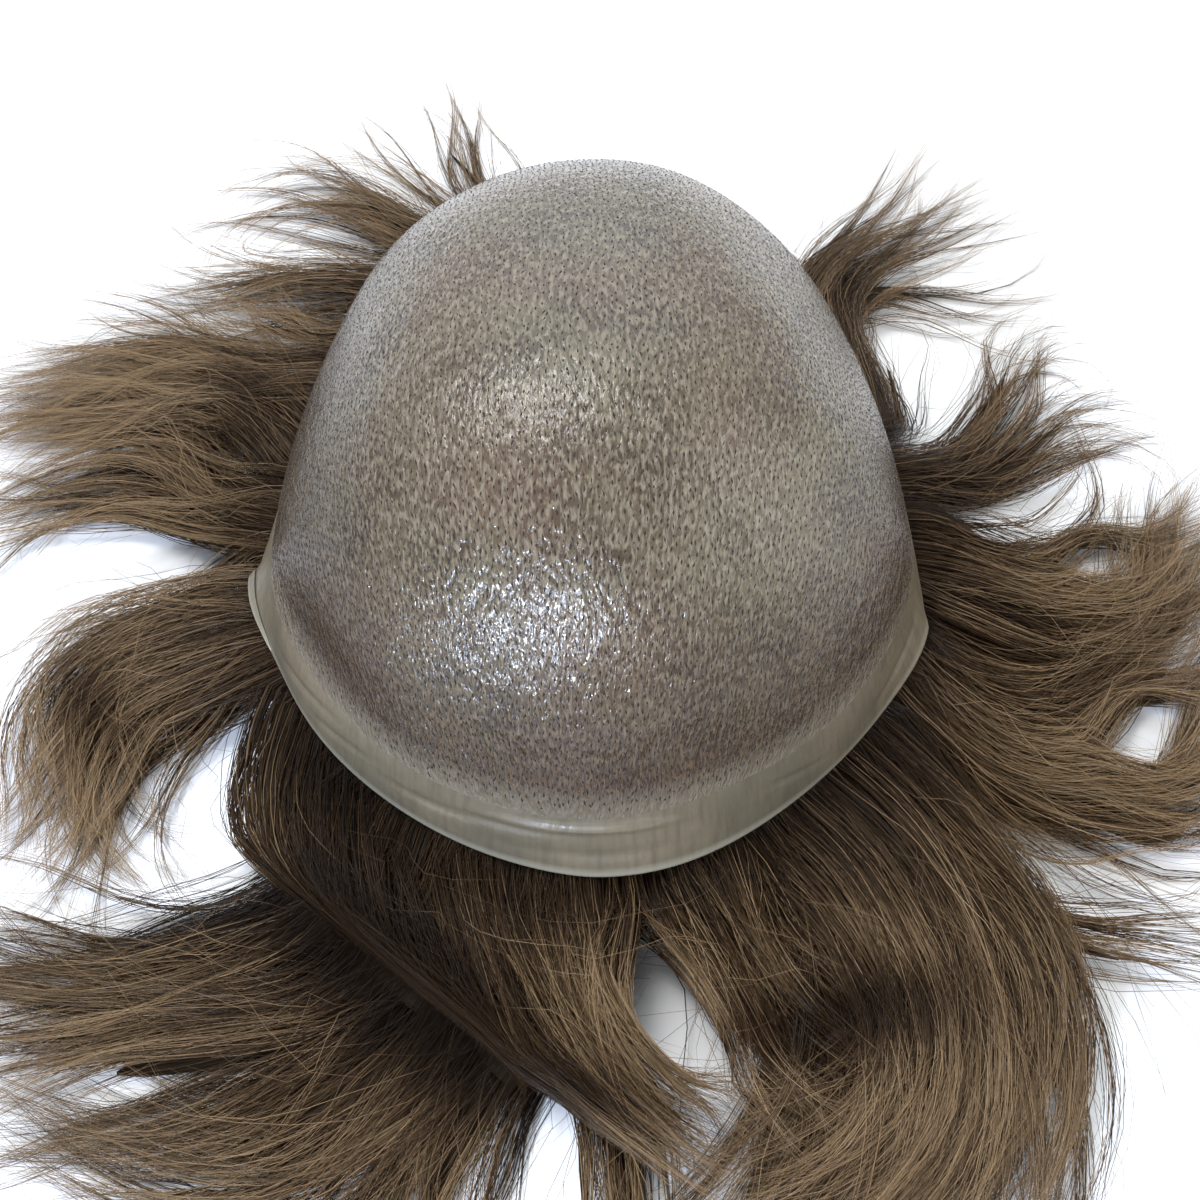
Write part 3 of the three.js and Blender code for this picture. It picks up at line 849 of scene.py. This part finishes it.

# %% [markdown]
# ## Partings, painted shade and gleams, and the combed edge
# Laid hair isn't an even mat. Here and there it parts and the table shows, it bends over in folds
# whose hollows lie in shade, and the upper front layer ends in a combed edge. Three short tables say
# where, each place with its turn and its size. The hairs are pushed round the partings and drawn back
# from the edge as if by a comb. The folds are only painted shade that darkens the hairs, and a few
# places get a painted highlight, so that no hair is cut off. A hair that would reach too far is drawn
# in as a whole, so that the dressed model keeps the part's size.

# %% Partings, painted shade and gleams, and the combed edge
PARTINGS = [  # x, y (mm), turned (degrees), half length, half width (mm)
    (18.5, -129, -53, 19, 7.5),
    (-4, -158, -76, 16, 4.5),
    (133, -60, 5, 15, 10),
    (-132, 44, 0, 17, 3),
    (-97, 36, 20, 9, 3),
    (105, -4, 20, 12, 5),
    (132, -10, 0, 11, 7),
]
PAINTED_SHADE_AND_GLEAMS = [  # x, y (mm), turned (degrees), half length, half width (mm), deep of the painted shade, or less than 0 for a painted highlight
    (-49, -113, -37, 20, 9, 0.85),
    (-28, -130, -37, 20, 10, 1.1),
    (-2, -146, -16, 22, 5, 0.6),
    (-89, -107, 3, 30, 6, 0.35),
    (54, -132, 8, 24, 6, 0.7),
    (-114, -55, -56, 17, 7, 0.55),
    (-89, 35, -59, 23, 8, 0.4),
    (79, 90, -87, 25, 6, 0.3),
    (106, -33, -40, 22, 7, 0.25),
    (-50, -84, -38, 28, 8, 0.2),
    (5, -127, -57, 16, 6, -0.3),
    (26, -126, -66, 14, 4, -0.3),
    (63, -115, -32, 14, 6, -0.3),
    (-62, -154, 3, 26, 7, -0.2),
    (62, -151, 11, 24, 9, -0.15),
]
COMBED_EDGE = (-72.0, -97.0, -36.7, 8.0)  # x, y (mm), turned (degrees), softness (mm)
DEEP_HAIR = 8.0  # millimetres above the table below which hair gets painted shade, as if in others' shade
HAIR_ROOM = 17.0  # millimetres past the box of the solids that a hair may reach
room_low = np.array(cad_low)[:2] / MM - HAIR_ROOM
room_high = np.array(cad_high)[:2] / MM + HAIR_ROOM


def seen_from(points, x, y, turned):
    """How far points lie along and across a turned place, and the cosine and sine of its turn."""
    c, s = math.cos(math.radians(turned)), math.sin(math.radians(turned))
    from_x, from_y = points[..., 0] - x, points[..., 1] - y
    return from_x * c + from_y * s, from_y * c - from_x * s, c, s


def push_across(points, by, c, s):
    points[..., 0] -= by * s
    points[..., 1] += by * c


def shade_of(points):
    """Painted shade of each point of the hairs: in the folds, and low down except at the tips; below 0 a
    painted highlight.
    """
    along = np.linspace(0, 1, points.shape[1])[None]
    shade = 0.25 * (1 - smooth(points[..., 2] / DEEP_HAIR)) * (1 - smooth((along - 0.55) / 0.4))
    for x, y, turned, long, wide, deep in PAINTED_SHADE_AND_GLEAMS:
        along_fold, across_fold, _, _ = seen_from(points, x, y, turned)
        shade = shade + deep * hump(along_fold, long) * hump(across_fold, wide)
    return shade


def comb_over(points):
    """Draws the upper front layer back to one side of a line, where it lies in a dense fold."""
    x, y, turned, soft = COMBED_EDGE
    _, across, c, s = seen_from(points, x, y, turned)
    push_across(points, (across + np.sqrt(across**2 + soft**2)) / 2 - across, c, s)


def part_hair(points, room=0.0):
    """Moves hairs round each gap of the table below, all of a hair to the side it mostly lies on."""
    for x, y, turned, long, wide in PARTINGS:
        along, across, c, s = seen_from(points, x, y, turned)
        nearest = np.abs(along).argmin(axis=1)
        side = np.where(across[np.arange(len(points)), nearest] < 0, -1.0, 1.0)[:, None]
        kept_free = (wide + room) ** 2 * np.clip(1 - (along / long) ** 2, 0, 1)
        push_across(points, side * (np.sqrt(across**2 + kept_free) - np.abs(across)), c, s)


def within_room(points):
    """Draws each hair that reaches too far past the solids back towards its start, as a whole."""
    start = points[:, :1, :2]
    gone = points[..., :2] - start
    limit = np.where(gone > 0, room_high - start, start - room_low)
    over = (np.abs(gone) / limit).max(axis=(1, 2))
    points[..., :2] = start + gone / np.maximum(over, 1.0)[:, None, None]


print(len(PARTINGS), "partings,", len(PAINTED_SHADE_AND_GLEAMS), "folds and gleams")

# %% [markdown]
# ## Hairs
# A hair starts on the film's hollow side, runs down the wall, passes under the rim and then follows
# its wisp. At the rim the hairs stand evenly apart, because they are knotted evenly, and they draw
# together towards the tip. A few stray from their wisp altogether, and a few stand up as frizz.

# %% Hairs of a lock
stray_share = 0.05
frizz_share = 0.05  # the hairs that stand up and curl
hair_apart = 1.7  # millimetres that hairs spread round their wisp at the rim
drawn_in = 0.85  # how far they draw together at the tip, as a share
shorter = 0.6  # the shortest hairs lack this share of their wisp's length


def along_paths(path, owner, reach):
    """Points on each hair's wisp path, for a hair that is reach times as long as the wisp."""
    at = share[None] * reach[:, None] * segments
    low = np.minimum(at.astype(int), segments - 1)
    part = (at - low)[..., None]
    rows = owner[:, None]
    return path[rows, low] * (1 - part) + path[rows, low + 1] * part


def hair_of_lock(index, count):
    """Points of a lock's hairs, with the width factor and tone of each."""
    path, side, wisp_level, wisp_tone = wisps_of_lock(index)
    owner = rng.integers(0, len(path), count)
    reach = 1 - shorter * rng.random(count) ** 1.5
    points = along_paths(path, owner, reach)
    sideways = along_paths(side, owner, reach)
    kind = rng.random(count)
    frizz = kind < frizz_share
    stray = (kind < frizz_share + stray_share) & ~frizz
    loose_hair = stray | frizz
    draw = drawn_in * smooth(share * 1.1)[None] * rng.uniform(0.7, 1.05, count)[:, None]
    draw = np.where(loose_hair[:, None], draw * 0.3, draw)
    apart = rng.normal(0, 1, count) * hair_apart * (1 + 0.6 * locks[index]["wide"])
    sway = rng.uniform(0.1, 0.8, count)[:, None] * np.sin(
        rng.uniform(0, 2 * math.pi, count)[:, None] + rng.uniform(5, 14, count)[:, None] * share
    )
    wander = stray * rng.normal(0, 7, count) + frizz * rng.normal(0, 20, count)
    sway = sway + wander[:, None] * share**2
    curl = frizz * rng.uniform(0.8, 5, count)
    start, pace = rng.uniform(0, 6, count)[:, None], rng.uniform(8, 20, count)[:, None]
    sway = sway + curl[:, None] * np.sin(start + pace * share)
    across = apart[:, None] * (1 - draw) + sway * smooth(share * 2.5)
    points[..., :2] += sideways * across[..., None]
    lift = rng.normal(0, 1.3, count)[:, None] * (1 - draw) * (0.35 + 0.65 * smooth(share / 0.2))
    rise = stray * rng.uniform(0, 7, count) + frizz * rng.uniform(0, 14, count)
    points[..., 2] += lift + rise[:, None] * smooth(share * 1.3)
    ceiling = rim_height - clearance - 0.2 + 60 * smooth((share - 0.02) / 0.12)
    points[..., 2] = np.clip(points[..., 2], 0.25, ceiling)
    points[..., :2] += base_place[:2]
    if locks[index]["zone"] == "front_over":
        comb_over(points)
    part_hair(points)
    within_room(points)
    level = wisp_level[owner]
    # most hairs are dark and some are light: by wisp and by chance, and hairs that lie lower in their
    # wisp get painted shade
    tone = 0.35 * wisp_tone[owner] + 0.6 * rng.random(count) ** 2.2 + 0.3 * level
    width = np.where(frizz, 0.5, np.where(stray, 0.6, 1.25 - 0.5 * level))
    width = width * rng.uniform(0.7, 1.15, count)
    return points, width, tone


def with_roots(points):
    """Two more points before the rim, up the hollow side, where the hair is knotted."""
    first = points[:, 0]
    bearing = np.degrees(np.arctan2(first[:, 1] - base_place[1], first[:, 0] - base_place[0]))
    found = []
    rises = [rng.uniform(7, 15, len(points)), np.full(len(points), 1.5)]
    for rise, near, far in zip(rises, (2.4, 2.8), (6.0, 7.0)):
        turn = np.degrees(np.arcsin((rise / dome_height) ** (shoulder_power / 2)))
        depth = rng.uniform(near, far, len(points))[:, None]
        found.append(face_point(bearing, turn) - face_normal(bearing, turn) * depth)
    found[1][:, 2] = np.minimum(found[1][:, 2], first[:, 2] + 3.0)
    return np.concatenate([found[0][:, None], found[1][:, None], points], 1)


# %% [markdown]
# ## A hair as a ribbon
# A hair is far thinner than a pixel here, so a flat ribbon two triangles to a step is enough. Its
# normals are turned outwards at both edges, so it is shaded like a thin cylinder and a highlight runs
# round it, as on a real hair. The ribbon's UV map holds the hair's tone and the share of its length,
# which its finish reads.

# %% Ribbons
taper_along = [0, 0.25, 0.7, 1]
taper_width = [0.75, 1, 0.85, 0.15]
edge_turn = 0.85  # how far the edges' normals lean outwards


def ribbons(points, width, twist, tone):
    """Points, quads, UVs and normals of ribbons along hairs, from an array of hairs by points."""
    count, steps, _ = points.shape
    tangent = np.gradient(points, axis=1)
    tangent /= np.linalg.norm(tangent, axis=-1, keepdims=True) + 1e-9
    side = np.cross(tangent, np.array([0.0, 0.0, 1.0]))
    side /= np.linalg.norm(side, axis=-1, keepdims=True) + 1e-9
    lift = np.cross(side, tangent)
    angle = twist[:, None] + 0.4 * np.sin(twist[:, None] * 9 + 3 * np.linspace(0, 1, steps)[None])
    across = side * np.cos(angle)[..., None] + lift * np.sin(angle)[..., None]
    facing = np.cross(across, tangent)
    along = np.linspace(0, 1, steps)
    half = across * (width[:, None] * np.interp(along, taper_along, taper_width) / 2)[..., None]
    corners = np.stack([points - half, points + half], 2).reshape(-1, 3)
    corners[:, 2] = np.maximum(corners[:, 2], 0.1)
    normals = np.stack([facing - across * edge_turn, facing + across * edge_turn], 2).reshape(-1, 3)
    normals /= np.linalg.norm(normals, axis=1, keepdims=True) + 1e-9
    i, k = np.meshgrid(np.arange(count), np.arange(steps - 1), indexing="ij")
    start = (i * steps + k) * 2
    faces = np.stack([start, start + 1, start + 3, start + 2], -1).reshape(-1, 4)
    uvs = np.stack(np.broadcast_arrays(tone[:, :, None], along[None, :, None]), -1)
    uvs = np.broadcast_to(uvs, (count, steps, 2, 2)).reshape(-1, 2)
    return corners, faces, uvs, normals


# %% [markdown]
# ## The hair's finish
# Ash-brown human hair: near black-brown near the rim, lighter and more golden towards the tips, with
# every wisp a slightly different tone. The ramp's dark start is partly the hair's own dark roots and
# partly painted shade of the dense hair near the rim. The colour is a ramp along the hair, moved up or
# down by the hair's tone, which also carries the painted shade of folds and depth and a few painted
# highlights. A hair shader would be closer to real hair, but only a plain shader can be exported with
# the mesh.

# %% Hair material
hair_root_and_shade = (0.009, 0.0047, 0.0024, 1)
hair_middle = (0.046, 0.024, 0.0098, 1)
hair_tip = (0.31, 0.205, 0.112, 1)
hair_gold = (0.25, 0.165, 0.085, 1)
even_tone = 0.55  # a hair of this tone has the ramp's own colours


def hair_finish():
    material, tree, shader = new_material("ash_brown_hair", Roughness=0.33, Specular_IOR_Level=0.11)
    pattern = add_node(tree, "ShaderNodeUVMap", uv_map="pattern").outputs[0]
    apart = add_node(tree, "ShaderNodeSeparateXYZ", {0: pattern})
    tone, along = apart.outputs[0], apart.outputs[1]
    moved = maths(tree, "ADD", along, maths(tree, "SUBTRACT", tone, even_tone))
    # the ramp's dark start is partly painted shade of the dense hair
    colour = blend_colours(tree, ramp(tree, moved, 0.0, 0.6), hair_root_and_shade, hair_middle)
    colour = blend_colours(tree, ramp(tree, moved, 0.55, 1.2), colour, hair_tip)
    place = add_node(tree, "ShaderNodeTexCoord").outputs["Object"]
    golden = ramp(tree, noise(tree, place, 26.0, 2.0), 0.46, 0.68, 0.0, 0.7)
    golden = maths(tree, "MULTIPLY", golden, ramp(tree, moved, 0.4, 0.9))
    colour = blend_colours(tree, golden, colour, hair_gold)
    tree.links.new(colour, shader.inputs["Base Color"])
    tree.links.new(ramp(tree, tone, 0.0, 1.0, 0.26, 0.42), shader.inputs["Roughness"])
    return material


hair_material = hair_finish()

# %% [markdown]
# ## The hair, zone by zone
# Each zone is one mesh, so that it stays light enough to handle. A lock gets hairs in proportion to
# its length and width.

# %% Grow the hair
zone_counts = {"front_over": 6900, "front_under": 6000, "left": 5400, "right": 5400, "back": 2000}
zone_nodes = {"front_over": "hair_front", "left": "hair_left", "right": "hair_right", "back": "hair_back"}
# how much lighter each zone is, and how wide a hair
zone_tone = {"front_over": -0.06, "front_under": -0.04, "left": 0.2, "right": 0.07, "back": 0.18}
strand_width = 0.24


def grow_zone(zone, total):
    picked = [i for i, lock in enumerate(locks) if lock["zone"] == zone]
    weight = np.array([locks[i]["long"] * (0.12 + locks[i]["wide"]) for i in picked])
    counts = np.round(total * weight / weight.sum()).astype(int)
    sets = [hair_of_lock(i, count) for i, count in zip(picked, counts)]
    points = with_roots(np.concatenate([found for found, _, _ in sets]))
    width = strand_width * np.concatenate([widths for _, widths, _ in sets])
    tone = zone_tone[zone] + np.concatenate([tones for _, _, tones in sets])
    # painted shade and painted highlights darken or lighten each point's tone
    tone = np.clip(tone[:, None] - shade_of(points), 0, 1)
    corners, faces, uvs, normals = ribbons(points, width, rng.normal(0, 0.45, len(points)), tone)
    piece = make_piece("hair_" + zone + "_strands", corners, faces, hair_material, uvs, normals=normals)
    if zone in zone_nodes:
        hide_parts(zone_nodes[zone])
    print(piece.name, len(points), "hairs,", triangles_of(piece), "triangles")


for zone, total in zone_counts.items():
    grow_zone(zone, total)

# %% [markdown]
# ## The dark inside of the hair, as painted shade
# Between the hairs of a lock one looks into shade, not through to the table. A slimmer, lower copy
# of each lock fills that place as painted shade: a near-black solid with a hair-like streaked finish.
# A combed lining with the same finish covers the hollow side of the film, where the roots are.

# %% Inner locks and root lining
core_sides = 12
core_steps = 16
core_length = 0.6  # these three as shares of the lock's own size
core_width = 0.5
core_height = 0.55
inner_painted_shade = (0.006, 0.0035, 0.002, 1)
inner_streak = (0.034, 0.02, 0.01, 1)


def core_of_lock(index):
    values = lock_values(index)[None]
    none = np.zeros(1)
    plan, heading = plan_routes(values, none, none, none)
    wide, tall, rides = values[0, 6:9]
    along = np.linspace(0, core_length, core_steps)
    x = np.interp(along, share, plan[0, :, 0])
    y = np.interp(along, share, plan[0, :, 1])
    turned = np.interp(along, share, heading[0])
    centre = np.stack([x + base_place[0], y + base_place[1]], -1)[None]
    if locks[index]["zone"] == "front_over":
        comb_over(centre)
    part_hair(centre, core_width * wide * lock_width / 2)
    fade = np.sqrt(np.clip(1 - (along / core_length) ** 2, 0.004, 1))
    wide_here, tall_here = [np.interp(along, profile_along, p) for p in (profile_width, profile_height)]
    half_wide = core_width * wide * lock_width / 2 * wide_here * fade
    half_tall = core_height * tall * lock_height / 2 * tall_here * fade
    at_rim = rim_height - clearance - 0.5 * tall * lock_height
    fall = smooth(along / 0.34)
    middle = at_rim * (1 - fall) + (rides * rim_height + half_tall + 0.4) * fall
    angle = np.arange(core_sides) * 2 * math.pi / core_sides
    side = np.cos(angle)[None] * half_wide[:, None]
    lift = np.sin(angle)[None] * half_tall[:, None]
    px = centre[0, :, :1] + np.sin(turned)[:, None] * side
    py = centre[0, :, 1:] - np.cos(turned)[:, None] * side
    pz = np.maximum(middle[:, None] + lift, 0.15)
    points = np.stack([px, py, pz], -1)
    ends = np.stack([points[0].mean(axis=0), points[-1].mean(axis=0)])
    v, u = np.meshgrid(along, angle / (2 * math.pi), indexing="ij")
    quads, fans = tube_faces(core_steps, core_sides)
    uvs = np.concatenate([np.stack([u.ravel(), v.ravel()], 1), [[0.5, 0], [0.5, core_length]]])
    return np.concatenate([points.reshape(-1, 3), ends]), quads, fans, uvs


def root_lining():
    columns = 180
    round_ = np.arange(columns) * 360.0 / columns
    turns = np.linspace(89.4, turn_at_rise(0.8), 30)
    outer = band_wall + clearance
    layers = [(outer, turns), (outer + mat_depth, turns[::-1])]
    rings, uvs = [], []
    for inset, order in layers:
        for turn in order:
            rough = 0.7 * np.sin(round_ * 0.9) * np.sin(turn * 0.12) if inset > outer else 0.0
            at = np.full(columns, turn)
            ring = face_point(round_, at) - face_normal(round_, at) * np.reshape(inset + rough, (-1, 1))
            ring[:, 2] = np.maximum(ring[:, 2], rim_height + 0.3)
            rings.append(ring)
            uvs.append(np.stack([round_ / 30.0, np.full(columns, turn / 120.0)], 1))
    points = np.concatenate(rings)
    ends = np.stack([rings[0].mean(axis=0), rings[-1].mean(axis=0)])
    quads, fans = tube_faces(len(rings), columns)
    uvs = np.concatenate(uvs + [np.zeros((2, 2))])
    return np.concatenate([points, ends]), quads, fans, uvs


def inner_finish():
    material, tree, shader = new_material("inner_hair_and_shade", Roughness=0.55, Specular_IOR_Level=0.08)
    pattern = add_node(tree, "ShaderNodeUVMap", uv_map="pattern").outputs[0]
    streak = noise(tree, stretched(tree, pattern, 46.0, 1.6), 3.0, 4.0, 0.6)
    # near-black painted shade with lighter hair-like streaks
    colour = blend_colours(tree, ramp(tree, streak, 0.35, 0.68), inner_painted_shade, inner_streak)
    tree.links.new(colour, shader.inputs["Base Color"])
    bump = add_node(tree, "ShaderNodeBump", {"Strength": 0.8, "Distance": 0.0008, "Height": streak})
    tree.links.new(bump.outputs[0], shader.inputs["Normal"])
    return material


def inner_piece():
    parts = [core_of_lock(i) for i in range(len(locks))] + [root_lining()]
    shift = np.cumsum([0] + [len(part[0]) for part in parts])
    points = np.concatenate([part[0] for part in parts])
    quads = np.concatenate([part[1] + by for part, by in zip(parts, shift)])
    fans = np.concatenate([part[2] + by for part, by in zip(parts, shift)])
    uvs = np.concatenate([part[3] for part in parts])
    return make_piece("inner_hair_and_shade", points, [quads, fans], inner_finish(), uvs)


inner = inner_piece()
print("inner hair", triangles_of(inner), "triangles")

# %% [markdown]
# ## Table, light and camera
# A pale table in a bright room, as in a product photo. The room is dimmer in front, where the maker
# stands, so the front of the film stays dark and its back mirrors the light. A small bright lamp makes
# the hard sparkle on the front, a window beside it the softer patch, and a lamp overhead the dim sheen
# near the crown. A broad pale wall on the right and a window behind fill in the sides. Each lamp is
# placed by the direction in which the film mirrors it.

# %% Stage
from mathutils import Vector


def make_table():
    bpy.ops.mesh.primitive_plane_add(size=8.0, location=(0, 0, -0.0003))
    table = bpy.context.object
    table.name = "table"
    material, tree, shader = new_material("pale_table", Roughness=0.7, Specular_IOR_Level=0.1)
    place = add_node(tree, "ShaderNodeTexCoord").outputs["Object"]
    shade = ramp(tree, noise(tree, place, 6.0), 0.3, 0.7)
    colour = blend_colours(tree, shade, (0.9, 0.9, 0.905, 1), (0.93, 0.93, 0.935, 1))
    tree.links.new(colour, shader.inputs["Base Color"])
    table.data.materials.append(material)


def add_lamp(name, at, towards, far, size, power, colour=(1, 1, 1)):
    """A round lamp that stands far (metres) from the point at, in the direction towards."""
    data = bpy.data.lights.new(name, "AREA")
    data.shape = "DISK"
    data.size = size
    data.energy = power
    data.color = colour
    lamp = bpy.data.objects.new(name, data)
    bpy.context.scene.collection.objects.link(lamp)
    direction = Vector(towards).normalized()
    lamp.location = Vector(at) + direction * far
    lamp.rotation_euler = direction.to_track_quat("Z", "Y").to_euler()


def light_room(front, back, colour):
    """A room that is dimmer in front, where the maker stands, than behind."""
    world = bpy.data.worlds.new("bright_room")
    world.use_nodes = True
    tree = world.node_tree
    sky = tree.nodes["Background"]
    sky.inputs["Color"].default_value = colour
    way = add_node(tree, "ShaderNodeTexCoord").outputs["Generated"]
    depth = add_node(tree, "ShaderNodeSeparateXYZ", {0: way}).outputs[1]
    tree.links.new(ramp(tree, depth, -0.5, 0.4, front, back), sky.inputs["Strength"])
    bpy.context.scene.world = world


make_table()
light_room(front=0.14, back=0.72, colour=(0.95, 0.975, 1.0, 1))
front_of_film = (-0.004, -0.076, 0.074)
crown_of_film = (-0.006, -0.042, 0.097)
add_lamp("flash", front_of_film, (-0.434, -0.818, 0.376), 1.2, 0.07, 20, (0.66, 0.78, 1.0))
add_lamp("window", front_of_film, (0.02, -0.88, 0.43), 1.6, 0.6, 4.5, (0.95, 0.97, 1.0))
add_lamp("ceiling", crown_of_film, (-0.33, 0.22, 0.92), 1.6, 0.75, 18)
add_lamp("right wall", front_of_film, (0.93, -0.1, 0.36), 1.8, 1.6, 16, (1.0, 0.99, 0.96))
add_lamp("back window", crown_of_film, (0.0, 0.8, 0.6), 2.0, 2.6, 19, (0.8, 0.9, 1.0))

# %% [markdown]
# ## Camera
# The eye is in front of the hairpiece and looks steeply down, a little under a third of a metre
# above the table, with an ordinary lens.

# %% Camera
camera_data = bpy.data.cameras.new("camera")
camera_data.lens = 45.0
camera_data.sensor_width = 36.0
camera = bpy.data.objects.new("camera", camera_data)
camera.location = (0.0052, -0.2396, 0.3072)
camera.rotation_euler = (math.radians(35.7), 0, 0)  # from straight down
bpy.context.scene.collection.objects.link(camera)
bpy.context.scene.camera = camera
bpy.context.scene.view_settings.view_transform = "Standard"
bpy.context.scene.view_settings.look = "None"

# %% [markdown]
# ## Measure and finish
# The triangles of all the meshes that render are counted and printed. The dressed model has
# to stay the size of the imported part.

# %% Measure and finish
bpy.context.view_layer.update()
total = sum(triangles_of(o) for o in bpy.data.objects if o.type == "MESH" and not o.hide_render)
print("triangles in all", total)
